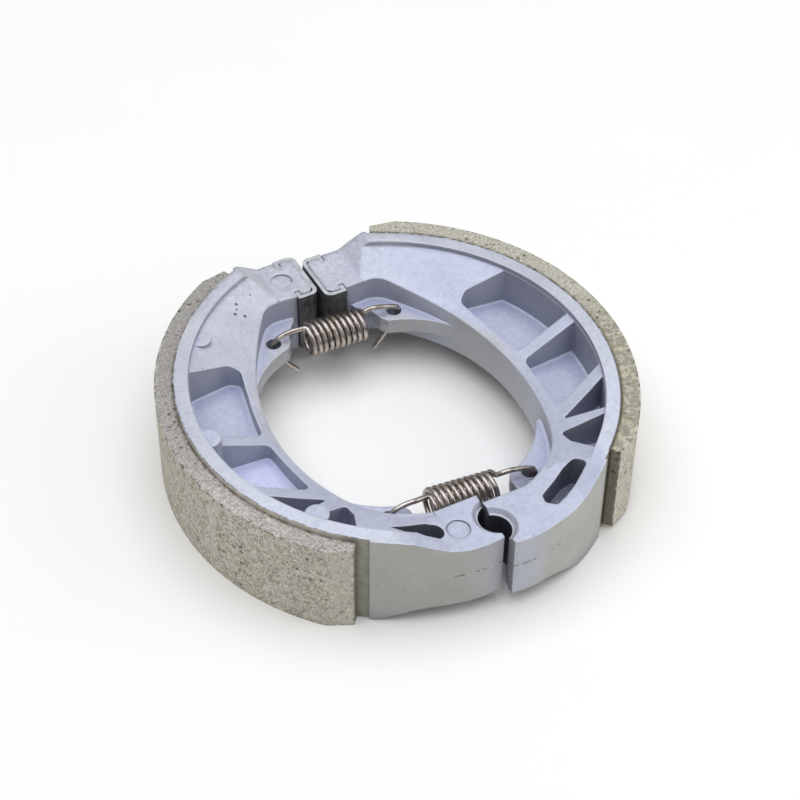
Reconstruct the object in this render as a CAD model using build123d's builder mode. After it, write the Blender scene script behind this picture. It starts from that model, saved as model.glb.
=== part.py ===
"""Brake shoe set for a 110 mm drum, 25 mm class: two die-cast shoes with bonded
linings, pressed steel caps on the cam pads and two extension springs.

Frame: +Z up (drum axis), +Y from the anchor end to the cam end, +X to the right
shoe. The origin is on the floor, midway between the two shoes' own drum centres.
A shoe is drawn in its own frame (drum centre at x = y = 0, shoe on the -X side)
and placed twice, the second time turned over about the Y axis.
"""
from build123d import *
from math import cos, sin, pi, radians, asin, degrees
import os

os.makedirs("parts", exist_ok=True)

# ---- driving dimensions, mm ----
width = 24.5             # of the rim
drum_r = 55.0            # working radius of the lining
lining_t = 4.2
lining_short = 1.3       # the lining stops this far short of the ejector face
rim_t = 3.2
close_x = 3.12           # each shoe is drawn in this far by the springs
slip_y = 1.21            # and the two are slipped this far along the split
lining_start, lining_end = 23.6, 140.3   # degrees from +Y towards -X
bevel, bevel_angle = 1.7, 6.0            # lead-in at both ends of the lining
groove_angle = 3.1       # bare strip between the lining and the cast shoulder
shoulder_h = 0.5         # the casting stands this proud past the lining's ends
end_half = 7.95          # half thickness of the cam pad and the anchor end
web_half = 2.0           # half thickness of the web and the spring lugs
rim_lip = 1.2            # step down from the rim's edge to the dished face
dish_slope = 0.40        # fall of the dished face per mm towards the centre
pocket_lip = 0.15        # the rim is this much thicker inside a pocket
cap_t = 1.0              # steel cap
cap_leg = 4.2            # how far it reaches round the pad
cap_corner = 1.9
cap_proud = 0.7          # its legs stand this far outside the pad's sides
cap_lip = 2.4            # its ends turn in this far and clip into the pad
cap_play = 0.12
cap_step = 0.2           # its edges stop this far below the pad's faces
pad_face = -3.47         # working face of the cap, own frame
pad_drop = 1.6           # the cam pad's outer side, in from the rim
pad_w = 12.9
seat_x, seat_r = -1.95, 4.0              # the half-round anchor seat
seat_drop = 4.3          # its centre, in from the rim's inner face
seat_wall = 6.65         # from its centre to the anchor end's inner side
seat_chamfer = 1.25
end_gap_x = -3.2         # end face beside the seat, own frame
end_slant = 0.5          # it leans back by this much at its outer edge
wire_r = 0.6             # springs
coil_r = 3.25            # to the middle of the wire, at the right end
coil_flare = 0.45        # the coil is this much wider at the left end
hole_r = 1.75            # spring holes in the lugs
ejector_r = 2.6          # shallow marks left by the die's ejector pins
ejector_deep = 0.3

# ---- sizes that follow ----
mid = width / 2
rim_r = drum_r - lining_t
rim_in = rim_r - rim_t
shoulder_r = rim_r + shoulder_h
shoulder_end = lining_end + groove_angle
pad_out = rim_r - pad_drop
pad_in = pad_out - pad_w
pad_back = pad_face - cap_t
seat_y = seat_drop - rim_in
anchor_in = seat_y + seat_wall
anchor_out = 1.4 - rim_r                 # outer side of the anchor end
leg_end = pad_back - cap_leg
cap_w = pad_w + 2 * cap_proud
pad_top = mid + end_half


def on(r, a):
    """Point at radius r, a degrees from +Y towards -X."""
    return (-r * sin(radians(a)), r * cos(radians(a)))


def at(depth, a):
    """Point this deep inside the rim's inner face, at bearing a."""
    return on(rim_in - depth, a)


def by_cam_hole(x, y):
    """Point x, y away from the cam end's spring hole."""
    return (cam_hole[0] + x, cam_hole[1] + y)


cam_bend = -13.1         # where the rim's circle ends and the flat cam end begins
anchor_bend = -13.3
cam_corner = on(rim_r, degrees(asin(-cam_bend / rim_r)))
anchor_corner = on(rim_r, 180 - degrees(asin(-anchor_bend / rim_r)))

# the inner wall is a chain of arcs that run into each other
cam_root = (cam_bend, pad_in + 0.3)
upper_corner = at(8.55, 28.3)
upper_joint = at(12.5, 44.6)
inner_mid = at(15.8, 93.6)
lower_joint = at(11.1, 131.1)
anchor_root = (anchor_bend - 0.2, anchor_in)
cam_hole = (cam_bend - 4.9, pad_in - 6.1)
pin_hole = at(12.7, 145.85)

# pockets: the inner corners, the bearings of the two on the rim, the corner radius
pockets = [
    ([at(13.4, 87.7), at(13.4, 73.9), at(10.7, 55.2), at(7.8, 55.0)], 62.8, 87.0, 1.8),
    ([at(10.2, 120.2), at(13.0, 104.2), at(13.4, 92.6)], 90.8, 108.3, 1.4),
    ([at(9.0, 126.6)], 113.2, 124.7, 0.4),
    ([at(6.0, 136.9), at(8.8, 132.9)], 126.9, 139.6, 0.8),
]
# the last one, beside the seat, is narrower on the ejector side; its rim corners are rounded
slot_plain = ([at(2.4, 160.8), at(4.2, 159.4), at(4.6, 148.1), at(3.4, 144.2)], 145.0, 159.3, 0.9)
slot_rounding = 1.1
slot_tip = at(2.9, 147.6)
slot_inner = [at(3.9, 153.0), at(4.6, 158.6)]
slot_outer = [at(0.4, 160.0), at(0.4, 156.6), at(1.2, 151.5)]
slot_end = at(2.5, 161.7)

# ---- what the die takes away from one face of the casting ----
with BuildPart() as face_cut:
    with BuildSketch(Plane.XZ):              # the dished face inside the rim, a shallow cone
        Polygon((0, width - rim_lip - dish_slope * rim_in), (rim_in, width - rim_lip),
                (rim_in, width + rim_t), (0, width + rim_t), align=None)
    revolve(axis=Axis.Z)
    with Locations((anchor_bend, 0, 0)):     # only where the rim's circle runs
        Box(drum_r, 3 * drum_r, 4 * width, align=(Align.MAX, Align.CENTER, Align.CENTER),
            mode=Mode.INTERSECT)
    with BuildSketch(Plane.XZ):              # it rises to meet the anchor end
        Polygon((anchor_bend - 13.7, pad_top - 2), (anchor_bend - 6.2, pad_top),
                (anchor_bend + 1, pad_top), (anchor_bend + 1, 0), (anchor_bend - 13.7, 0),
                align=None)
    extrude(amount=drum_r, mode=Mode.SUBTRACT)
    with BuildSketch(Plane.XZ):              # the cam end, stepped down from the rim
        Polygon((cam_bend, pad_top), (cam_bend - 5.7, width), (cam_bend - 5.7, width + rim_t),
                (0, width + rim_t), (0, pad_top), align=None)
    extrude(amount=-drum_r)


def anchor_cut(start):
    """The slope from the rim down to the anchor end, from this far along X."""
    with BuildPart() as slope:
        with BuildSketch(Plane.XZ):
            Polygon((start, width), (start + 3, width - 0.5), (start + 10, pad_top + 0.6),
                    (start + 13, pad_top), (0, pad_top), (0, width + rim_t), (start, width + rim_t),
                    align=None)
        extrude(amount=drum_r)
    return slope.part


ejector_slope = anchor_cut(anchor_bend - 12.2)
plain_slope = anchor_cut(anchor_bend - 19.2)     # longer on the plain side


def pocket_outline(side, a, b, corner, rim_corner=0.0):
    """Sketch of one pocket: its inner corners, rounded, closed by an arc along the rim."""
    outer = rim_in - pocket_lip
    with BuildSketch() as outline:
        with BuildLine():
            Polyline(on(outer, b), *side, on(outer, a))
            ThreePointArc(on(outer, a), on(outer, (a + b) / 2), on(outer, b))
        make_face()
        fillet([v for v in outline.vertices() if Vector(v).length < outer - 1], corner)
        if rim_corner:
            fillet([v for v in outline.vertices() if Vector(v).length > outer - 0.01], rim_corner)
    return outline.sketch


def pad_side(y, inward):
    """One side of the cam pad: a notch for the cap's turned-in end, then the narrower head."""
    back, front = leg_end - cap_play, leg_end + cap_t + cap_play
    deep = y + inward * (cap_lip - cap_proud + cap_play)
    head = y + inward * (cap_t - cap_proud + cap_play)
    return [(back, y), (back, deep), (front, deep), (front, head),
            (pad_back - cap_t, head), (pad_back, head + inward * cap_t)]


with BuildPart() as pocket_cut:
    with BuildSketch(Plane.XY.offset(mid + web_half)):
        for pocket in pockets:
            add(pocket_outline(*pocket))
    extrude(amount=mid)

with BuildPart() as slot_plain_cut:
    with BuildSketch(Plane.XY.offset(mid + web_half)):
        add(pocket_outline(*slot_plain, rim_corner=slot_rounding))
    extrude(amount=mid)

with BuildPart() as slot_ejector_cut:
    with BuildSketch(Plane.XY.offset(mid + web_half)):
        with BuildLine():
            Polyline(*slot_outer, slot_tip, *slot_inner)
            ThreePointArc(slot_inner[-1], slot_end, slot_outer[0])
        make_face()
    extrude(amount=mid)

# ---- the casting ----
with BuildPart() as casting:
    with BuildSketch():
        with BuildLine():
            upper = TangentArc(inner_mid, upper_joint, tangent=(0, 1))
            corner = TangentArc(upper_joint, upper_corner, tangent=upper % 1)
            TangentArc(upper_corner, cam_root, tangent=corner % 1)
            lower = TangentArc(inner_mid, lower_joint, tangent=(0, -1))
            TangentArc(lower_joint, anchor_root, tangent=lower % 1)
            Polyline(anchor_root, (end_gap_x, anchor_in), (end_gap_x - end_slant, anchor_out))
            ThreePointArc((end_gap_x - end_slant, anchor_out), (anchor_bend + 4.8, anchor_out - 0.35),
                          anchor_corner)
            ThreePointArc(anchor_corner, on(shoulder_r - 0.1, shoulder_end + 11),
                          on(shoulder_r, shoulder_end))
            Line(on(shoulder_r, shoulder_end), on(rim_r, shoulder_end))
            ThreePointArc(on(rim_r, shoulder_end), on(rim_r, 80), on(rim_r, lining_start - 1))
            Line(on(rim_r, lining_start - 1), on(shoulder_r, lining_start - 1))
            ThreePointArc(on(shoulder_r, lining_start - 1), on(shoulder_r - 0.1, lining_start - 4),
                          cam_corner)
            Polyline(cam_corner, *pad_side(pad_out, -1), *reversed(pad_side(pad_in, 1)), cam_root)
        make_face()
    extrude(amount=width)
    # the two spring lugs, in the plane of the web
    with BuildSketch(Plane.XY.offset(mid - web_half)):
        with BuildLine():
            Polyline((cam_bend + 3.3, pad_in + 0.7), (cam_bend + 2.5, pad_in - 1.3),
                     by_cam_hole(4.6, 1.8), by_cam_hole(3.9, -1.0), by_cam_hole(2.6, -2.7))
            ThreePointArc(by_cam_hole(2.6, -2.7), by_cam_hole(-4.6, -6.2), at(14.2, 57.0))
            Polyline(at(14.2, 57.0), at(12.7, 62.7), at(9.4, 45.0), at(5.1, 26.6),
                     (cam_bend + 3.3, pad_in + 0.7))
        make_face()
        with BuildLine():
            Polyline((anchor_bend - 1.4, anchor_in - 0.4), at(14.9, 153.3), at(16.2, 150.3))
            ThreePointArc(at(16.2, 150.3), at(14.9, 135.4), at(14.5, 119.3))
            Polyline(at(14.5, 119.3), at(11.8, 116.6), at(7.3, 134.0), at(6.4, 151.0),
                     (anchor_bend - 1.4, anchor_in - 0.4))
        make_face()
    extrude(amount=2 * web_half)
    with Locations((*cam_hole, mid), (*pin_hole, mid)):
        Cylinder(hole_r, 3 * web_half, mode=Mode.SUBTRACT)
    # both faces alike, but for the slope to the anchor end and the slot beside the seat
    add(face_cut.part, mode=Mode.SUBTRACT)
    add(mirror(face_cut.part, about=Plane.XY.offset(mid)), mode=Mode.SUBTRACT)
    add(ejector_slope, mode=Mode.SUBTRACT)
    add(mirror(plain_slope, about=Plane.XY.offset(mid)), mode=Mode.SUBTRACT)
    add(pocket_cut.part, mode=Mode.SUBTRACT)
    add(mirror(pocket_cut.part, about=Plane.XY.offset(mid)), mode=Mode.SUBTRACT)
    add(slot_ejector_cut.part, mode=Mode.SUBTRACT)
    add(mirror(slot_plain_cut.part, about=Plane.XY.offset(mid)), mode=Mode.SUBTRACT)
    # the half-round seat for the anchor pin, chamfered at both faces
    with Locations((seat_x, seat_y, mid)):
        Cylinder(seat_r, width, mode=Mode.SUBTRACT)
    for side, turn in ((1, 0), (-1, 180)):
        mouth = mid + side * (end_half - seat_chamfer / 2)
        with Locations(Location((seat_x, seat_y, mouth), (turn, 0, 0))):
            Cone(seat_r, seat_r + seat_chamfer, seat_chamfer, mode=Mode.SUBTRACT)
    # flat-topped ejector bosses and two shallow ejector marks, on one face only
    for place, r, drop in ((at(0.8, 49.6), 2.35, 1.2), (at(0.6, 89.1), 2.7, 0.5),
                           (at(1.1, 128.7), 2.6, 0.5)):
        with Locations((*place, mid + web_half)):
            Cylinder(r, mid - web_half - drop, align=(Align.CENTER, Align.CENTER, Align.MIN))
    with Locations((anchor_bend + 2.25, seat_y + 0.1, pad_top),
                   (pad_back - 5.3, pad_in + 6.3, pad_top)):
        Cylinder(ejector_r, 2 * ejector_deep, mode=Mode.SUBTRACT)

# ---- lining and cap, own frame ----
with BuildPart() as lining:
    with BuildSketch():
        with BuildLine():
            ThreePointArc(on(rim_r, lining_start), on(rim_r, 80), on(rim_r, lining_end))
            Polyline(on(rim_r, lining_end), on(drum_r - bevel, lining_end),
                     on(drum_r, lining_end - bevel_angle))
            ThreePointArc(on(drum_r, lining_end - bevel_angle), on(drum_r, 80),
                          on(drum_r, lining_start + bevel_angle))
            Polyline(on(drum_r, lining_start + bevel_angle), on(drum_r - bevel, lining_start),
                     on(rim_r, lining_start))
        make_face()
    extrude(amount=width - lining_short)

with BuildPart() as cap:
    with BuildSketch(Plane.XY.offset(mid - end_half + cap_step)):
        with Locations((pad_face, pad_in + pad_w / 2)):
            Rectangle(cap_t + cap_leg, cap_w, align=(Align.MAX, Align.CENTER))
        fillet(vertices().group_by(Axis.X)[-1], cap_corner)
        with BuildSketch(mode=Mode.PRIVATE) as hollow:
            with Locations((pad_back, pad_in + pad_w / 2)):
                Rectangle(cap_leg - cap_t, cap_w - 2 * cap_t, align=(Align.MAX, Align.CENTER))
            fillet(hollow.vertices().group_by(Axis.X)[-1], cap_corner - cap_t)
            with Locations((pad_back, pad_in + pad_w / 2)):
                Rectangle(cap_leg + cap_t, cap_w - 2 * cap_lip, align=(Align.MAX, Align.CENTER))
        add(hollow.sketch, mode=Mode.SUBTRACT)
    extrude(amount=2 * (end_half - cap_step))

# ---- the springs: an open coil, and at each end a hook down through a lug's hole ----
turn_points = 10         # straight steps in one turn of the coil
# a hook from its free end: (distance from the hole towards the coil, height over mid)
left_hook = [(5.6, -8.1), (2.5, -4.4), (0.7, -1.8), (-0.2, 0.0), (-0.3, 1.4), (0.3, 2.6),
             (1.4, 3.5), (3.0, 4.1), (4.8, 4.4), (6.5, 4.3)]
right_hook = [(5.0, -8.1), (2.3, -4.4), (0.4, -1.8), (-0.6, 0.0), (-1.0, 1.3), (-1.1, 2.4),
              (-0.2, 3.1), (1.4, 3.6), (3.4, 4.2), (5.4, 4.5), (7.0, 4.4)]


def wire_corners(hole, turns, length, start_gap, sag, lift):
    """Corners of the wire's middle line, from the left lug's hole to the right one's.

    The coil starts start_gap from the left hole; its middle is sag below the line of the
    holes, along Y, and lift above mid.
    """
    a = Vector(hole[0] + close_x, hole[1] + slip_y)
    b = Vector(-hole[0] - close_x, hole[1] - slip_y)
    lean = (b.Y - a.Y) / (b.X - a.X)
    steps = turns * turn_points
    points = [(a.X + s, a.Y + lean * s, mid + h) for s, h in left_hook]
    for i in range(steps + 1):
        s = start_gap + length * i / steps
        r = coil_r + coil_flare * (1 - i / steps)
        w = 2 * pi * (i / turn_points + 0.25)
        points.append((a.X + s, a.Y + lean * s - sag + r * cos(w), mid + lift + r * sin(w)))
    points += [(b.X - s, b.Y - lean * s, mid + h) for s, h in reversed(right_hook)]
    return [Vector(*p) for p in points]


corners = wire_corners(cam_hole, 10, 14.1, 8.0, 0.1, 0.6)
with BuildPart() as cam_spring:
    with BuildSketch(Plane(origin=corners[0], z_dir=corners[1] - corners[0])):
        RegularPolygon(wire_r, 6)
    sweep(path=Wire.make_polygon(corners, close=False), transition=Transition.RIGHT)

corners = wire_corners(pin_hole, 11, 15.6, 9.9, -1.3, -0.5)
with BuildPart() as anchor_spring:
    with BuildSketch(Plane(origin=corners[0], z_dir=corners[1] - corners[0])):
        RegularPolygon(wire_r, 6)
    sweep(path=Wire.make_polygon(corners, close=False), transition=Transition.RIGHT)

# ---- the set: one shoe as drawn, the other turned over ----
left_place = Location((close_x, slip_y, 0))
right_place = Location((-close_x, -slip_y, width), (0, 180, 0))

with BuildPart() as left_shoe:
    with Locations(left_place):
        add(casting.part)
with BuildPart() as right_shoe:
    with Locations(right_place):
        add(casting.part)
with BuildPart() as left_lining:
    with Locations(left_place):
        add(lining.part)
with BuildPart() as right_lining:
    with Locations(right_place):
        add(lining.part)
with BuildPart() as left_cap:
    with Locations(left_place):
        add(cap.part)
with BuildPart() as right_cap:
    with Locations(right_place):
        add(cap.part)

nodes = {"left_shoe": left_shoe, "right_shoe": right_shoe, "left_lining": left_lining,
         "right_lining": right_lining, "left_cap": left_cap, "right_cap": right_cap,
         "cam_spring": cam_spring, "anchor_spring": anchor_spring}
for name, node in nodes.items():
    node.part.label = name
    export_step(node.part, f"parts/{name}.step")
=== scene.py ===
# %% [markdown]
# # A drum brake shoe set
# Two die-cast shoes face each other round the inside of a small motorcycle drum. Each one
# carries a bonded friction lining and a pressed steel cap where the cam pushes it, and two
# springs pull the pair together. The solid model comes in as a fixed frame, so this lesson is
# about the rest: the light, the finishes, and the springs, which a solid modeller winds coarsely.

# %% Load the frame
import math

import bpy
from mathutils import Matrix, Vector


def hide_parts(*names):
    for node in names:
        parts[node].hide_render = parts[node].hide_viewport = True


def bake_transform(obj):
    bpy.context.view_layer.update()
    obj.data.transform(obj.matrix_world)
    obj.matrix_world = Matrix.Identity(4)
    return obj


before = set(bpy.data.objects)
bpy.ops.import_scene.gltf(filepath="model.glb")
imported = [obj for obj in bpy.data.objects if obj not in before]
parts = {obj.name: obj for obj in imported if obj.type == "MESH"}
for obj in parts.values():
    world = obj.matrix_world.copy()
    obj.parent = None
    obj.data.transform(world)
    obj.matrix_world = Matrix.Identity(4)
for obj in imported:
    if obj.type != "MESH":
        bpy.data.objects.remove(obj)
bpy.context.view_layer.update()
mm = 0.001
print("parts:", ", ".join(sorted(parts)))

# %% [markdown]
# ## Where the camera stands
# A small part like this is usually shot from arm's length with a longer lens, looking down at
# about 45 degrees, so its top and its side both show. A camera can be aimed with a constraint,
# but here it is built from three plain turns: round the vertical, down, and a slight tilt of
# the head. That keeps its place and its angles readable.

# %% Camera
stands_at = (-0.1540, -0.2831, 0.3346)
heading, down, tilt = math.radians(-28.7), 0.778, 0.0142
focal_length, sensor_width = 92.54, 36
camera = bpy.data.objects.new("camera", bpy.data.cameras.new("camera"))
camera.matrix_world = (Matrix.Translation(stands_at)
                       @ Matrix.Rotation(heading, 4, "Z")
                       @ Matrix.Rotation(math.pi / 2 - down, 4, "X")
                       @ Matrix.Rotation(tilt, 4, "Z"))
camera.data.lens, camera.data.sensor_width = focal_length, sensor_width
camera.data.clip_start = 0.01
bpy.context.scene.collection.objects.link(camera)
bpy.context.scene.camera = camera
print("camera distance in mm:", round(camera.location.length / mm))

# %% [markdown]
# ## The table and the light
# Product shots stand on white and are lit from above by a big soft lamp, a little cold, with
# white card round the sides. One wide area light does most of that, because its size alone
# makes the shadows soft. A weaker one at the right lifts the walls on that side, and a dim,
# even world fills in from everywhere.

# %% Floor
def link(obj):
    """Puts a new object in the scene."""
    bpy.context.scene.collection.objects.link(obj)
    return obj


half = 3
floor_mesh = bpy.data.meshes.new("floor")
floor_mesh.from_pydata([(-half, -half, 0), (half, -half, 0), (half, half, 0), (-half, half, 0)],
                       [], [(0, 1, 2, 3)])
floor = link(bpy.data.objects.new("floor", floor_mesh))
print("floor in m:", 2 * half)


# %% Lamps and world
def soft_lamp(name, place, aim, size, watts, colour):
    """A square area light at a place, facing a point."""
    lamp = bpy.data.lights.new(name, "AREA")
    lamp.size, lamp.energy, lamp.color = size, watts, colour
    obj = link(bpy.data.objects.new(name, lamp))
    obj.location = place
    obj.rotation_euler = (Vector(aim) - Vector(place)).to_track_quat("-Z", "Y").to_euler()
    return obj


soft_lamp("overhead", place=(-0.05, 0.0, 1.1), aim=(0, 0, 0), size=1.4, watts=13.3,
          colour=(0.84, 0.89, 1.0))
soft_lamp("window", place=(0.9, -0.5, 0.55), aim=(0, 0, 0.01), size=0.8, watts=2.8,
          colour=(0.95, 0.97, 1.0))
world = bpy.data.worlds.new("studio")
world.use_nodes = True
sky = world.node_tree.nodes["Background"]
sky.inputs["Color"].default_value = (1.0, 0.985, 0.95, 1)
sky.inputs["Strength"].default_value = 0.36
bpy.context.scene.world = world
bpy.context.scene.view_settings.view_transform = "Standard"
print("lamps:", len(bpy.data.lights))

# %% [markdown]
# ## A short way to write materials
# Every finish here is worked out by nodes from the surface's own position, so it needs no
# pictures and no unwrapping. A node tree could be clicked together in the editor. Written as
# code it needs one helper that adds a node and plugs in its inputs. A socket knows which tree
# it belongs to, so the helpers find the material by themselves, and a finish reads like sums.

# %% Nodes and wires
def new_material(name):
    """A node material, and its main shader."""
    mat = bpy.data.materials.new(name)
    mat.use_nodes = True
    return mat, mat.node_tree.nodes["Principled BSDF"]


def tree_of(*values):
    """The node tree that the first socket among these belongs to."""
    return next(v.id_data for v in values if isinstance(v, bpy.types.NodeSocket))


def wire(source, target):
    """Plugs one socket into another."""
    source.id_data.links.new(source, target)


def put(kind, inputs, tree=None, **settings):
    """Adds a node; an input that is a socket gets a wire, anything else is a plain value."""
    node = (tree or tree_of(*inputs.values())).nodes.new("ShaderNode" + kind)
    for key, value in settings.items():
        setattr(node, key, value)
    for key, value in inputs.items():
        if isinstance(value, bpy.types.NodeSocket):
            wire(value, node.inputs[key])
        else:
            node.inputs[key].default_value = value
    return node


print("node helpers: new_material, wire, put")


# %% Sums, masks and mixes
def calc(operation, *values):
    """One sum on single numbers."""
    return put("Math", dict(enumerate(values)), operation=operation).outputs[0]


def times(first, *others):
    """All the values multiplied together."""
    for other in others:
        first = calc("MULTIPLY", first, other)
    return first


def vector(operation, *values):
    """One sum on vectors; the vector result."""
    return put("VectorMath", dict(enumerate(values)), operation=operation).outputs[0]


def split(value):
    """The three numbers of a vector or a colour."""
    return put("SeparateXYZ", {0: value}).outputs


def mask(value, low, high):
    """0 below low and 1 above high (or the other way round), with a ramp between."""
    return put("MapRange", {"Value": value, "From Min": low, "From Max": high}).outputs[0]


def mixed(factor, a, b):
    """Colour a where the factor is 0, b where it is 1."""
    node = put("Mix", {0: factor}, data_type="RGBA")
    for socket, value in ((node.inputs[6], a), (node.inputs[7], b)):
        if isinstance(value, bpy.types.NodeSocket):
            wire(value, socket)
        else:
            socket.default_value = (*value, 1)
    return node.outputs[2]


print("sum helpers: calc, times, vector, split, mask, mixed")

# %% [markdown]
# ## White card
# White card is never quite even, so the floor has a faint cloud in its colour. It is too weak
# to notice, but it keeps the white from looking drawn. The card is slightly warm, so that under
# the cold lamp it still comes out white. The noise works in millimetres, like every finish
# below, because that is how the sizes of pores and grains are known.

# %% Floor finish
def place_in_mm(mat):
    """The surface's own position, in mm."""
    coords = put("TexCoord", {}, mat.node_tree).outputs["Object"]
    return put("VectorMath", {0: coords, "Scale": 1 / mm}, operation="SCALE").outputs[0]


def noise(place, scale, detail=3.0, rough=0.55):
    """Cloudy noise, 0 to 1; the scale is in lumps per mm."""
    return put("TexNoise", {"Vector": place, "Scale": scale, "Detail": detail,
                            "Roughness": rough}).outputs[0]


card, shader = new_material("white_card")
shade = noise(place_in_mm(card), 0.02)
wire(mixed(shade, (0.94, 0.915, 0.86), (0.96, 0.935, 0.88)), shader.inputs["Base Color"])
shader.inputs["Roughness"].default_value = 0.9
shader.inputs["Specular IOR Level"].default_value = 0.2
floor.data.materials.append(card)
print("card nodes:", len(card.node_tree.nodes))

# %% [markdown]
# ## Where things are on a casting
# The finishes need to know where the lining, the seat and the pockets are. The part's faces
# could be told apart one by one in the mesh, but a place is simpler: the distance from the
# drum's centre says rim or ring, the height says face or floor, and the direction in which a
# surface looks says wall or top. Each finish works them out once and passes them on.

# %% Places and directions
centres = {"left": (3.12, 1.21), "right": (-3.12, -1.21)}
seats = {"left": (1.17, -42.09), "right": (-1.17, -44.51)}
rim_r, rim_in, ring_in = 50.8, 47.6, 33.5
face_top, middle, pocket_floor = 24.5, 12.25, 14.25


def radius_from(place, x, y):
    """Distance in mm from the upright line through x, y."""
    flat = vector("MULTIPLY", vector("SUBTRACT", place, (x, y, 0)), (1, 1, 0))
    return put("VectorMath", {0: flat}, operation="LENGTH").outputs["Value"]


class Spot:
    """What a finish asks about the point that it colours; a shoe or a lining has a side."""

    def __init__(self, mat, side=None):
        self.place = place_in_mm(mat)
        self.x, self.y, self.z = split(self.place)
        self.facing = put("TexCoord", {}, mat.node_tree).outputs["Normal"]
        self.facing_x, _, self.facing_up = split(self.facing)
        if side:
            self.side = side
            self.away = radius_from(self.place, *centres[side])
            self.on_wall = mask(calc("ABSOLUTE", self.facing_up), 0.5, 0.3)
            self.sideways = calc("ABSOLUTE", self.x)


print("rim radius, rim inside, ring inside in mm:", rim_r, rim_in, ring_in)

# %% [markdown]
# ## Die-cast aluminium: the skin
# The shoes are pressure die castings, left as they come from the die: a satin skin, slightly
# cloudy. One colour would look like plastic, and a picture of a casting would need unwrapping.
# So each kind of surface gets a pair of close colours, and a slow cloud of noise wanders between
# the two. The pairs also hold painted light: faces that look up are lighter and faintly blue, as
# under the cold lamp, and walls are darker, warm outside and dull blue inside. The cam end is
# greyer.

# %% Flat faces
def face_colour(spot, cloud):
    """Bluish, as painted cold light from above, but greyer on the rim and at the cam end, and
    bright on the near rim.
    """
    on_rim = mask(spot.z, face_top - 0.3, face_top - 0.1)
    grey = mixed(cloud, (0.51, 0.515, 0.555), (0.60, 0.605, 0.64))
    bluish = mixed(cloud, (0.49, 0.51, 0.61), (0.57, 0.59, 0.69))
    blue = calc("MAXIMUM", mask(spot.x, -5, 25), mask(spot.y, 35, 10))
    blue = times(blue, mask(times(on_rim, 0.75), 1.0, 0.0))     # less blue on the rim
    colour = mixed(blue, grey, bluish)
    bright_rim = times(on_rim, mask(spot.y, 5, -25), 0.6)
    return mixed(bright_rim, colour, (0.70, 0.72, 0.80))


print("rim face above a height in mm of:", face_top - 0.3)


# %% Walls
def wall_colour(spot, cloud):
    """Darker than the faces as painted shade: dull blue inside and warmer outside, as if lit from
    the floor; with a few places of their own.
    """
    outer = mask(spot.away, rim_in + 0.3, rim_in + 0.8)
    at_tip = mask(spot.y, -38, -42)
    inside = mixed(cloud, (0.40, 0.415, 0.47), (0.46, 0.475, 0.53))
    outside = mixed(cloud, (0.41, 0.405, 0.37), (0.49, 0.485, 0.455))
    colour = mixed(outer, inside, outside)
    # bluish again at the anchor's very tip, painted cold light from the front, and darker on the
    # left one
    tip = times(mask(spot.sideways, 10, 4), at_tip)
    colour = mixed(tip, colour, mixed(cloud, (0.44, 0.45, 0.51), (0.52, 0.53, 0.59)))
    left_tip_dark = times(outer, mask(spot.x, 2, -2), at_tip)
    colour = mixed(times(left_tip_dark, 0.5), colour, (0.33, 0.33, 0.30))
    # painted shade where the right rim faces in, painted light inside the near half of the ring
    shade_facing_in = times(mask(spot.facing_x, -0.3, -0.8), mask(spot.x, 20, 24),
                      mask(spot.away, 44, 45))
    colour = mixed(times(shade_facing_in, 0.6), colour, (0.25, 0.26, 0.32))
    near = times(mask(spot.away, ring_in + 0.5, ring_in - 0.5), mask(spot.y, 4, -12))
    return mixed(times(near, 0.5), colour, (0.58, 0.58, 0.62))


print("outer walls beyond a radius in mm of:", round(rim_in + 0.3, 1))

# %% [markdown]
# ## Pockets and slots
# Between the ribs the casting is cored out to a thin web. Light bounces about in these pockets
# and turns bluer, their corners go dark, and the radius round each floor catches the light.
# The renderer makes some of this by itself. An ambient occlusion node, which measures how
# closed in a point is, strengthens it and tints it in the same step.

# %% Shade in the hollows
def openness(spot, reach):
    """1 in the open, less where something lies within reach, in mm."""
    return put("AmbientOcclusion", {"Distance": reach * mm}, tree_of(spot.place),
               samples=8).outputs["AO"]


def shaded(colour, spot, up):
    """Painted shade and light in pockets, slots and the inside of the ring, and some tints."""
    hollow = mask(openness(spot, 7), 0.85, 0.30)
    colour = mixed(times(hollow, 0.8), colour,
                   mixed(up, (0.26, 0.275, 0.36), (0.47, 0.485, 0.73)))
    on_floor = times(up, mask(spot.z, pocket_floor + 0.95, pocket_floor + 0.35))
    turned_up = times(on_floor, mask(openness(spot, 1.3), 0.92, 0.72))
    colour = mixed(times(turned_up, 0.7), colour, (0.78, 0.80, 0.92))
    # one pocket, the left shoe's second, came out paler than the rest
    pale = times(mask(spot.y, 8, 2), mask(spot.x, -20, -25),
                 mask(spot.z, pocket_floor + 1.15, pocket_floor + 0.55), up)
    colour = mixed(times(pale, 0.6), colour, (0.72, 0.745, 0.98))
    below = mask(spot.z, face_top - 1.0, face_top - 2.5)
    # painted shade, near black, deep in the slot at the anchor end
    slot_shade = times(mask(spot.y, -30, -32), below, mask(spot.away, rim_in, rim_in - 0.2),
                 mask(hollow, 0.0, 0.2))
    colour = mixed(times(slot_shade, 0.8), colour, (0.13, 0.135, 0.18))
    # inside the ring, towards the cam, the metal is greyer
    grey = times(mask(spot.y, -12, 6), below,
                 mask(spot.away, ring_in + 0.5, ring_in - 0.5))
    return mixed(grey, colour, vector("MULTIPLY", colour, (0.99, 0.96, 0.86)))


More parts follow.
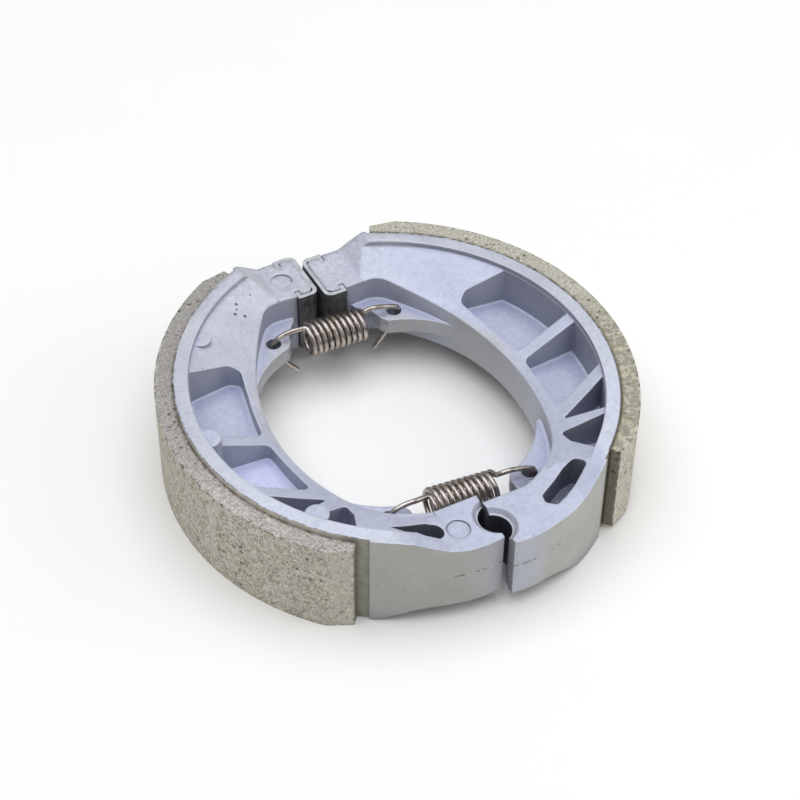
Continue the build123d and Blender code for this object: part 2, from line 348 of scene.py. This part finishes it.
def die_skin(spot):
    """Colour of the bare casting."""
    cloud = mask(noise(spot.place, 0.10, 4.0), 0.3, 0.7)
    up = mask(spot.facing_up, 0.35, 0.8)
    # painted light and shade: faces that look up get the lighter, bluer colour, walls the darker
    # one
    colour = mixed(up, wall_colour(spot, cloud), face_colour(spot, cloud))
    patch = mask(noise(spot.place, 0.55, 4.0, 0.6), 0.50, 0.72)
    colour = mixed(times(patch, 0.35), colour, (0.41, 0.42, 0.48))
    return shaded(colour, spot, up)


print("pocket depth in mm:", face_top - pocket_floor)

# %% [markdown]
# ## Soft edges, with painted highlights
# No edge of a casting is sharp, and the ones that stand out catch the light. Rounding them
# all in the mesh would need many thousands of faces. A bevel node rounds them in the shading
# alone, which is enough for edges half a millimetre across. Where its direction parts from the
# true one there is an edge, so the same node also says where a highlight is painted on.

# %% Edges
highlight_r, soft_r, softer_by = 0.45, 0.6, 1.2      # mm


def bevelled(spot, radius):
    """The surface's direction, as if its edges were rounded by this radius in metres."""
    return put("Bevel", {"Radius": radius}, tree_of(spot.place), samples=8).outputs[0]


def edge_turn(rounded):
    """1 on flat ground, less towards an edge that the bevel has rounded."""
    true = put("NewGeometry", {}, tree_of(rounded)).outputs["Normal"]
    return put("VectorMath", {0: rounded, 1: true}, operation="DOT_PRODUCT").outputs["Value"]


def highlighted_edges(colour, spot):
    """A painted highlight on the edges that stand out, in patches."""
    edge = times(mask(edge_turn(bevelled(spot, highlight_r * mm)), 0.995, 0.90),
                 mask(openness(spot, 1.2), 0.75, 0.95),
                 mask(noise(spot.place, 0.9, 2.0), 0.35, 0.6))
    return mixed(times(edge, 0.6), colour, (0.85, 0.86, 0.89))


def casting_edges(spot):
    """Softly rounded, and most of all on the slope to the cam pad."""
    slope = times(mask(spot.y, 36.0, 39.0), mask(spot.z, 15.0, 18.0))
    return bevelled(spot, calc("ADD", times(slope, softer_by * mm), soft_r * mm))


print("edges rounded by mm:", soft_r, "to", round(soft_r + softer_by, 1))

# %% [markdown]
# ## Die wash, pores and nicks
# Wash sprayed into the die leaves the skin mottled, gas leaves small dark pores, and handling
# leaves bright nicks on the rim. Cells of a Voronoi texture scatter round spots, and only a
# share of them is used, or they would look like a pattern. The few larger pores of the left
# shoe are listed one by one, because a chance spread never gathers like that.

# %% Marks on the skin
pores = [(-20.1, 39.5, 0.28), (-21.5, 37.1, 0.30), (-19.5, 36.2, 0.30), (-4.3, 43.5, 0.16),
         (-20.6, 38.2, 0.16), (-15.9, 41.1, 0.12)]      # x, y and radius


def spots(place, scale, size, soft, share):
    """Scattered round spots of this size in mm; only this share of the cells has one."""
    cells = put("TexVoronoi", {"Vector": place, "Scale": scale, "Randomness": 1.0})
    near = mask(cells.outputs["Distance"], (size + soft) * scale, size * scale)
    pick = split(cells.outputs["Color"])[0]
    return times(near, mask(pick, share + 0.02, share))


def mottled(colour, spot):
    """Dark and light die wash, stronger by the cam and weaker on walls."""
    wash = noise(spot.place, 0.9, 5.0, 0.7)
    strength = calc("ADD", times(mask(spot.y, 38, 44), 0.35), 0.3)
    strength = calc("SUBTRACT", strength, times(spot.on_wall, 0.15))
    colour = mixed(times(mask(wash, 0.52, 0.66), strength), colour, (0.36, 0.365, 0.40))
    return mixed(times(mask(wash, 0.46, 0.34), strength), colour, (0.72, 0.725, 0.76))


def pores_on(spot):
    """Small pores scattered, and the larger ones where they are."""
    pore = spots(spot.place, 0.42, size=0.10, soft=0.08, share=0.10)
    if spot.side == "left":
        for x, y, radius in pores:
            hole = mask(radius_from(spot.place, x, y), radius + 0.12, radius)
            pore = calc("MAXIMUM", pore, hole)
    return pore


def nicked(colour, spot):
    """Bright nicks near the rim."""
    nick = times(spots(spot.place, 0.33, size=0.10, soft=0.12, share=0.07),
                 mask(spot.away, 44.0, 46.0))
    return mixed(times(nick, 0.8), colour, (0.93, 0.94, 0.97))


print("pores placed by hand:", len(pores))

# %% [markdown]
# ## The parting line
# The two halves of the die meet at about mid-height and leave a thin ridge there, which is
# broken off and gets dirty. Modelled, it would cost an edge all round the part. It is only a
# tenth of a millimetre high, so a narrow and slightly wavy band of height draws it, and the
# bump pushes it out. It shows on the walls near both ends, where nothing has rubbed it away.

# %% Parting line
line_height = middle + 0.85     # the ripple takes up to 0.35 off


def band(value, centre, half, soft):
    """1 within half of the centre, fading to 0 over the soft width."""
    off = calc("ABSOLUTE", calc("SUBTRACT", value, centre))
    return mask(off, half + soft, half)


def parting_line(spot):
    """1 on the ridge, 0 elsewhere."""
    ripple = times(noise(spot.place, 0.8, 2.0), 0.35)
    ridge = band(calc("ADD", spot.z, ripple), line_height, half=0.10, soft=0.14)
    return times(ridge, spot.on_wall, mask(spot.sideways, 16.0, 10.0))


def with_line(colour, spot, line):
    """A pale ridge with dark flecks."""
    fleck = times(line, mask(noise(spot.place, 0.7, 2.0), 0.47, 0.53))
    colour = mixed(times(line, 0.4), colour, (0.66, 0.66, 0.66))
    return mixed(times(fleck, 0.85), colour, (0.08, 0.08, 0.07))


print("parting line below a height in mm of:", line_height)

# %% [markdown]
# ## Adhesive on the rim
# The lining is bonded on, and stops short of the rim's far edge and of the cast shoulders. The
# strips that it leaves bare are stained by the adhesive, and crumbs of it stand along the
# joint. Real crumbs could be modelled, but they are a tenth of a millimetre across, so a ragged
# mask made from noise does. On the right shoe the joint has opened at its lower end.

# %% Adhesive
def stained(colour, spot, lined):
    """Colours the bare strips of the rim's outer face, darker in the end groove."""
    bare = times(band(spot.away, rim_r, half=0.12, soft=0.1), spot.on_wall, lined)
    smear = mask(noise(spot.place, 0.5, 4.0), 0.4, 0.65)
    beside = mixed(smear, (0.60, 0.57, 0.49), (0.78, 0.74, 0.64))
    groove = mixed(smear, (0.25, 0.245, 0.195), (0.35, 0.34, 0.275))
    stain = mixed(mask(spot.y, -35, -37), beside, groove)
    return mixed(times(bare, 0.9), colour, stain)


def crumbed(colour, spot, lined):
    """Dark crumbs on the top, along the joint."""
    ragged = mask(noise(spot.place, 0.8, 3.0, 0.7), 0.44, 0.50)
    if spot.side == "right":
        ragged = calc("MAXIMUM", ragged, mask(spot.y, -8, -20))
    before_groove = mask(calc("SUBTRACT", spot.y, centres[spot.side][1]), -39.4, -39.0)
    crumb = times(mask(spot.away, rim_r - 0.30, rim_r - 0.12), lined, ragged, before_groove,
                  mask(spot.facing_up, 0.6, 0.8))
    return mixed(times(crumb, 0.8), colour, (0.09, 0.08, 0.06))


print("adhesive at a radius in mm of:", rim_r)

# %% [markdown]
# ## The pin's seat and the shaded gaps
# Each shoe turns on a fixed pin in a half-round seat. The deep seat gets painted shade, near
# black, its chamfer a lighter painted shade, and the lip between the two a painted highlight.
# The end faces beside it nearly touch, and they and the gaps round the steel cap get painted
# shade too. All of this follows from how near a point is to the pin, or to the next surface.

# %% Seat, end faces and gap shade
seat_r, chamfer_r, behind_r = 4.0, 5.25, 7.0


def seat_marked(colour, spot):
    """Painted shade in the seat and on the wall behind it, lighter on the chamfer; a painted
    highlight on the lip.
    """
    x, y = seats[spot.side]
    from_pin = radius_from(spot.place, x, y)
    behind = times(mask(from_pin, behind_r + 0.2, behind_r - 0.2),
                   mask(spot.y, y + 0.5, y + 1.5))
    bore_shade = times(calc("MAXIMUM", mask(from_pin, seat_r + 0.15, seat_r + 0.05), behind),
                 spot.on_wall)
    colour = mixed(times(bore_shade, 0.95), colour, (0.03, 0.032, 0.042))
    chamfer = times(mask(from_pin, chamfer_r + 0.1, chamfer_r - 0.05),
                    mask(from_pin, seat_r + 0.5, seat_r + 0.7))
    colour = mixed(times(chamfer, 0.45), colour, (0.30, 0.31, 0.36))
    lip = times(band(from_pin, seat_r + 0.2, half=0.08, soft=0.06),
                mask(spot.facing_up, 0.3, 0.5))
    return mixed(times(lip, 0.8), colour, (0.95, 0.96, 0.98))


def ends_shaded(colour, spot):
    """Painted shade on the faces where the two shoes nearly touch."""
    end = times(spot.on_wall, mask(spot.sideways, 1.6, 1.2), mask(spot.y, -34.0, -36.0),
                mask(calc("ABSOLUTE", spot.facing_x), 0.8, 0.9))
    return mixed(times(end, 0.6), colour, (0.14, 0.145, 0.16))


def cap_gap_shaded(colour, spot):
    """Painted shade in the narrow gaps round the cap."""
    gap_shade = times(mask(spot.y, 43.0, 44.5), mask(spot.sideways, 8.0, 7.0),
                  mask(openness(spot, 2.4), 0.995, 0.80))
    return mixed(times(gap_shade, 0.7), colour, (0.16, 0.165, 0.18))


print("seats at:", seats, "with radius", seat_r)

# %% [markdown]
# ## Both castings
# The layers go on one over the other: skin, painted highlights on the edges, marks of the die,
# adhesive, and painted shade and highlight at the seat and in the gaps. Cast aluminium is a metal
# under a rough oxide, and a full metal would mirror the room too darkly. A small share of metal
# keeps its dull sheen. A fine grain, the ridge and the pores also push the surface in and out.

# %% Casting finish
def casting(side):
    """Cast aluminium for one shoe."""
    mat, shader = new_material("casting_" + side)
    spot = Spot(mat, side)
    grain = noise(spot.place, 3.2, 5.0, 0.65)
    pore, line = pores_on(spot), parting_line(spot)
    # the lining's strip ends short of both tips
    lined = times(mask(spot.y, -42.6, -42.2), mask(spot.y, 45.0, 44.0))
    colour = mottled(highlighted_edges(die_skin(spot), spot), spot)
    colour = mixed(times(pore, 0.85), colour, (0.05, 0.045, 0.045))
    colour = with_line(nicked(colour, spot), spot, line)
    colour = seat_marked(stained(colour, spot, lined), spot)
    colour = crumbed(ends_shaded(colour, spot), spot, lined)
    wire(cap_gap_shaded(colour, spot), shader.inputs["Base Color"])
    wire(mask(grain, -1.1, 1.7), shader.inputs["Roughness"])
    shader.inputs["Metallic"].default_value = 0.3
    height = calc("ADD", times(grain, 0.05), times(line, 0.25))
    height = calc("SUBTRACT", height, times(pore, 0.5))
    bump = put("Bump", {"Height": height, "Strength": 0.5, "Distance": 0.5 * mm,
                        "Normal": casting_edges(spot)})
    wire(bump.outputs[0], shader.inputs["Normal"])
    return mat


def dress(name, mat):
    """Gives a solid of the frame its finish."""
    parts[name].data.materials.clear()
    parts[name].data.materials.append(mat)


for side in ("left", "right"):
    dress(side + "_shoe", casting(side))
print("castings finished")

# %% [markdown]
# ## Friction lining: the mix
# The lining is a moulded mix of resin, fibre, brass chips and mineral dust, ground to the
# drum's radius afterwards. Its grains could be modelled or painted one by one. Several sizes
# of noise on top of each other do the same and cost nothing: a slow cloud, greenish and pinkish
# drifts, brown lumps and fine pale flecks.

# %% Mix
def friction_mix(spot, warped, lumps, flecks):
    """Colour of the ground face."""
    cloud = mask(noise(spot.place, 0.09, 3.0), 0.3, 0.7)
    drift = noise(warped, 0.16, 3.0)
    colour = mixed(cloud, (0.47, 0.45, 0.39), (0.56, 0.535, 0.47))
    colour = mixed(times(mask(drift, 0.50, 0.62), 0.7), colour, (0.47, 0.475, 0.355))
    colour = mixed(times(mask(drift, 0.46, 0.34), 0.6), colour, (0.55, 0.50, 0.475))
    colour = mixed(times(mask(lumps, 0.45, 0.60), 0.85), colour, (0.25, 0.22, 0.16))
    return mixed(times(mask(flecks, 0.49, 0.60), 0.8), colour, (0.84, 0.80, 0.69))


print("mix: a cloud, two drifts, lumps and flecks")

# %% [markdown]
# ## Friction lining: sawn ends and moulded sides
# The arcs are sawn to length, which leaves dark, smeared end faces, and then ground to a lead-in
# there. Their sides keep the moulded skin and hold dust: brown on the left one, olive on the
# right one, whose lower end has taken up oil. An end face could be picked out in the mesh, but
# its direction tells it too: it looks square to the line out from the drum's centre.

# %% Ends and sides
ground_r = 55.0


def ends_sawn(colour, spot):
    """Dark end faces, and a lighter ground lead-in."""
    out = vector("SUBTRACT", spot.place, (*centres[spot.side], 0))
    out = vector("NORMALIZE", vector("MULTIPLY", out, (1, 1, 0)))
    dot = put("VectorMath", {0: spot.facing, 1: out}, operation="DOT_PRODUCT")
    facing_out = calc("ABSOLUTE", dot.outputs["Value"])
    sawn = times(mask(facing_out, 0.5, 0.3), spot.on_wall)
    colour = mixed(times(sawn, 0.85), colour, (0.155, 0.145, 0.11))
    lead_in = times(mask(spot.away, ground_r - 0.1, ground_r - 0.4),
                    mask(facing_out, 0.7, 0.9))
    return mixed(times(lead_in, 0.3), colour, (0.66, 0.63, 0.53))


def side_dusted(colour, spot, flecks, crumble):
    """Dust on the moulded side, and how each lining has worn."""
    up = mask(spot.facing_up, 0.5, 0.8)
    grains = mask(flecks, 0.42, 0.58)
    if spot.side == "left":
        dust = mixed(grains, (0.31, 0.275, 0.25), (0.56, 0.52, 0.49))
        colour = mixed(times(up, 0.65), colour, dust)
        far = times(up, mask(spot.y, -12, 10), 0.4)
        colour = mixed(far, colour, (0.24, 0.225, 0.215))
        return mixed(times(mask(spot.x, -46, -34), 0.25), colour, (0.33, 0.31, 0.26))
    dust = mixed(grains, (0.33, 0.305, 0.215), (0.60, 0.575, 0.47))
    colour = mixed(times(up, 0.65), colour, dust)
    oil = mixed(mask(crumble, 0.48, 0.58), (0.22, 0.20, 0.13), (0.58, 0.53, 0.38))
    return mixed(times(up, mask(spot.y, 6, -8), 0.6), colour, oil)


print("lining's ground radius in mm:", ground_r)

# %% [markdown]
# ## Friction lining: chips, pits and the joint
# Grinding breaks the edges into pale chips and dark crumbs, and pulls grains out of the face,
# which leaves dark pits in clusters. Round spots alone would look punched, so the position is
# bent by another noise first. The joint with the rim is lined with dirt.

# %% Chips and pits
def chipped(colour, warped, crumble, rounded):
    """Dark crumbs and pale chips along the edges, and a few chips elsewhere."""
    edge = mask(edge_turn(rounded), 0.998, 0.95)
    colour = mixed(times(edge, mask(crumble, 0.47, 0.40), 0.7), colour, (0.17, 0.15, 0.11))
    chip = calc("MAXIMUM", spots(warped, 0.7, size=0.16, soft=0.3, share=0.07),
                times(edge, mask(crumble, 0.52, 0.60)))
    return mixed(times(chip, 0.75), colour, (0.80, 0.75, 0.60))


def pits_in(spot, warped):
    """Large pits in clusters, small ones everywhere."""
    cluster = mask(noise(spot.place, 0.13, 2.0), 0.40, 0.58)
    large = times(spots(warped, 0.55, size=0.20, soft=0.40, share=0.34), cluster)
    small = times(spots(warped, 1.2, size=0.08, soft=0.20, share=0.30), 0.8)
    return calc("MAXIMUM", large, small)


def joint_dirtied(colour, spot, crumble):
    """Dirt in the joint, unbroken where the right one has opened."""
    ragged = mask(crumble, 0.42, 0.56)
    if spot.side == "right":
        ragged = calc("MAXIMUM", ragged, mask(spot.y, -12, -28))
    joint = times(mask(spot.away, rim_r + 0.75, rim_r + 0.25), ragged)
    return mixed(times(joint, 0.85), colour, (0.10, 0.08, 0.05))


print("joint out to a radius in mm of:", rim_r + 0.75)


# %% Lining finish
def lining(side):
    """Friction mix for one lining."""
    mat, shader = new_material("lining_" + side)
    spot = Spot(mat, side)
    warp = put("TexNoise", {"Vector": spot.place, "Scale": 0.9, "Detail": 3.0}).outputs["Color"]
    warped = vector("ADD", spot.place, vector("MULTIPLY", warp, (1.6, 1.6, 1.6)))
    lumps = noise(spot.place, 0.65, 6.0, 0.75)
    flecks = noise(spot.place, 2.0, 4.0, 0.75)
    crumble = noise(spot.place, 0.8, 4.0, 0.7)
    rounded, pit = bevelled(spot, 0.8 * mm), pits_in(spot, warped)
    colour = ends_sawn(friction_mix(spot, warped, lumps, flecks), spot)
    colour = side_dusted(colour, spot, flecks, crumble)
    colour = chipped(colour, warped, crumble, rounded)
    colour = mixed(times(pit, 0.85), colour, (0.085, 0.065, 0.045))
    wire(joint_dirtied(colour, spot, crumble), shader.inputs["Base Color"])
    shader.inputs["Roughness"].default_value = 0.9
    shader.inputs["Specular IOR Level"].default_value = 0.3
    height = calc("ADD", lumps, times(flecks, 0.5))
    height = calc("SUBTRACT", height, times(pit, 0.9))
    bump = put("Bump", {"Height": height, "Strength": 0.8, "Distance": 0.3 * mm,
                        "Normal": rounded})
    wire(bump.outputs[0], shader.inputs["Normal"])
    return mat


for side in ("left", "right"):
    dress(side + "_lining", lining(side))
print("linings finished")

# %% [markdown]
# ## Steel caps
# The cam would wear into soft aluminium, so each pad wears a cap of folded steel strip. The
# strip's faces are near-black and its cut edges are bright. The edges could have a second
# material, but the ones in sight look straight up, so a mask on the direction does it with one.

# %% Cap finish
cap_steel, shader = new_material("cap_steel")
spot = Spot(cap_steel)
cloud = mask(noise(spot.place, 0.45, 4.0), 0.35, 0.65)
streak = noise(vector("MULTIPLY", spot.place, (2.5, 2.5, 0.2)), 1.0, 3.0)
black = mixed(cloud, (0.07, 0.07, 0.075), (0.16, 0.16, 0.17))
black = mixed(times(mask(streak, 0.52, 0.72), 0.5), black, (0.30, 0.30, 0.31))
bright = mixed(cloud, (0.50, 0.50, 0.52), (0.72, 0.72, 0.74))
wire(mixed(mask(spot.facing_up, 0.5, 0.8), black, bright), shader.inputs["Base Color"])
wire(mask(streak, -0.6, 1.8), shader.inputs["Roughness"])
shader.inputs["Metallic"].default_value = 0.6
bump = put("Bump", {"Height": streak, "Strength": 0.25, "Distance": 0.15 * mm,
                    "Normal": bevelled(spot, 0.25 * mm)})
wire(bump.outputs[0], shader.inputs["Normal"])
for side in ("left", "right"):
    dress(side + "_cap", cap_steel)
print("caps finished")

# %% [markdown]
# ## Spring steel
# The springs are drawn wire, oiled and dark, with a brownish scale in patches. Almost all of
# their look comes from reflection, so the metal is nearly full and the roughness follows the
# patches. A fine bump breaks the reflections up a little, as the drawing die does.

# %% Spring finish
spring_steel, shader = new_material("spring_steel")
place = place_in_mm(spring_steel)
patches = noise(place, 0.8, 4.0)
wire(mixed(mask(patches, 0.35, 0.7), (0.34, 0.29, 0.25), (0.64, 0.58, 0.53)),
     shader.inputs["Base Color"])
wire(mask(patches, -0.3, 2.4), shader.inputs["Roughness"])
shader.inputs["Metallic"].default_value = 0.95
bump = put("Bump", {"Height": noise(place, 4.0), "Strength": 0.2, "Distance": 0.08 * mm})
wire(bump.outputs[0], shader.inputs["Normal"])
print("spring steel nodes:", len(spring_steel.node_tree.nodes))

# %% [markdown]
# ## Springs
# The solid springs are swept with few straight steps, to keep their files light. Here each is
# wound again from the same numbers as one smooth curve: a hook, a coil that is slightly wider
# at its left end, and a hook. A screw modifier could make the coil, but not its hooks. A NURBS
# curve through all of it, with a round bevel, gives an even wire with no joints or kinks.

# %% Line of the wire
wire_r, coil_r, coil_flare = 0.6, 3.25, 0.45
# each hook: distance in from its hole, and height above mid-height
left_hook = [(5.6, -8.1), (2.5, -4.4), (0.7, -1.8), (-0.2, 0.0), (-0.3, 1.4), (0.3, 2.6),
             (1.4, 3.5), (3.0, 4.1), (4.8, 4.4), (6.5, 4.3)]
right_hook = [(5.0, -8.1), (2.3, -4.4), (0.4, -1.8), (-0.6, 0.0), (-1.0, 1.3), (-1.1, 2.4),
              (-0.2, 3.1), (1.4, 3.6), (3.4, 4.2), (5.4, 4.5), (7.0, 4.4)]


def wire_line(a, b, turns, length, gap, sag, lift, steps=20):
    """Points of the wire's middle line from hole a to hole b, in mm."""
    lean = (b[1] - a[1]) / (b[0] - a[0])
    points = [(a[0] + s, a[1] + lean * s, middle + h) for s, h in left_hook]
    for i in range(turns * steps + 1):
        along = i / (turns * steps)
        s = gap + length * along
        r = coil_r + coil_flare * (1 - along)
        turn = 2 * math.pi * (i / steps + 0.25)
        points.append((a[0] + s, a[1] + lean * s - sag + r * math.cos(turn),
                       middle + lift + r * math.sin(turn)))
    points += [(b[0] - s, b[1] - lean * s, middle + h) for s, h in reversed(right_hook)]
    return points


print("wire diameter in mm:", 2 * wire_r)


# %% Wind a spring
def wound_spring(name, points):
    """A round wire along the points, as a mesh."""
    curve = bpy.data.curves.new(name, "CURVE")
    curve.dimensions = "3D"
    line = curve.splines.new("NURBS")
    line.points.add(len(points) - 1)
    for point, (x, y, z) in zip(line.points, points):
        point.co = (x * mm, y * mm, z * mm, 1)
    line.order_u, line.use_endpoint_u, line.resolution_u = 3, True, 3
    curve.bevel_depth, curve.bevel_resolution = wire_r * mm, 3
    curve.use_fill_caps = True
    wound = bpy.data.objects.new(name, curve)
    mesh = bpy.data.meshes.new_from_object(wound)
    bpy.data.objects.remove(wound)
    mesh.name = name
    mesh.materials.clear()
    mesh.materials.append(spring_steel)
    mesh.shade_smooth()
    return link(bpy.data.objects.new(name, mesh))


print("a spring hook has points:", len(left_hook), "or", len(right_hook))

# %% [markdown]
# ## Hanging them
# Each spring hooks into a hole in both shoes, so no single piece of the frame carries it. It
# could ride on the left shoe alone, but then its other hook would leave its hole as the shoes
# spread. Here the wound spring stands in for the frame's solid one, which is hidden, and its
# place is baked into its mesh.

# %% Hang both springs
# name: hole a, hole b, turns, length, gap before the coil, sag and lift of the coil
hang = {"cam_spring": ((-14.88, 31.41), (14.88, 28.99), 10, 14.1, 8.0, 0.1, 0.6),
        "anchor_spring": ((-16.47, -27.67), (16.47, -30.09), 11, 15.6, 9.9, -1.3, -0.5)}
for name, (a, b, turns, length, gap, sag, lift) in hang.items():
    wound = wound_spring(name + "_wound", wire_line(a, b, turns, length, gap, sag, lift))
    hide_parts(name)
    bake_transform(wound)
    print(name, "faces:", len(wound.data.polygons))
